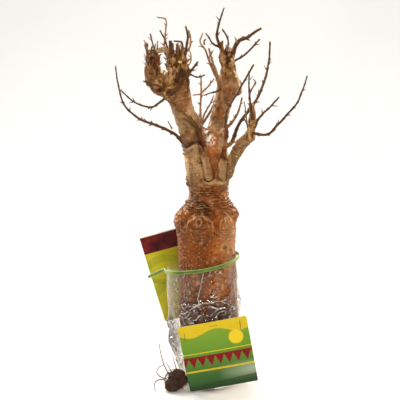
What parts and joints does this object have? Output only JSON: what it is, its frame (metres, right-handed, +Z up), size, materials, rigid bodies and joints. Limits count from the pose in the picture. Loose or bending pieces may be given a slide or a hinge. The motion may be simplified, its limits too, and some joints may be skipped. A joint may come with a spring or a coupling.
{
  "type": "baobab sapling",
  "caption": "Leafless baobab sapling with a swollen ringed trunk, a forked crown of bare twigs, and its foot in a clear bag with a rubber band and plain cards.",
  "frame": {"origin": "middle of the bag's flat underside, on the surface that the plant stands on", "axes": "+Z up along the trunk, -Y towards the viewer and the front card, +X to the viewer's right"},
  "size_m": [0.1915, 0.0997, 0.4005],
  "materials": {
    "bark": "smooth orange-brown bark with a satin sheen, ringed and knotted",
    "pale_bark": "pale grey-brown bark, satin",
    "twigs": "dark brown twig bark, matte to satin",
    "root": "dark matte root with fine hair roots",
    "film": "clear crinkled glossy film",
    "band": "light green elastic, satin",
    "card_green": null,
    "card_yellow": "glossy printed card, yellow with a dark red strip"
  },
  "bodies": {
    "root": {"trunk": "bark", "bough_left": "pale_bark", "bough_right": "pale_bark", "bough_low_right": "pale_bark", "bough_left_stub": "pale_bark", "stem_front_left": "pale_bark", "stem_front_right": "pale_bark", "stem_rear": "pale_bark", "twigs_left_top": "twigs", "twigs_left_stub": "twigs", "twigs_left_knob": "twigs", "twigs_left_long": "twigs", "twigs_right_top": "twigs", "twigs_right_side": "twigs", "twigs_front_left": "twigs", "twigs_front_right": "twigs", "twigs_right_rear": "twigs", "twigs_low_right": "twigs", "twigs_rear": "twigs", "root_tip": "root", "bag": "film", "band": "band", "card_front": "card_green", "card_rear": "card_yellow"}
  },
  "joints": []
}
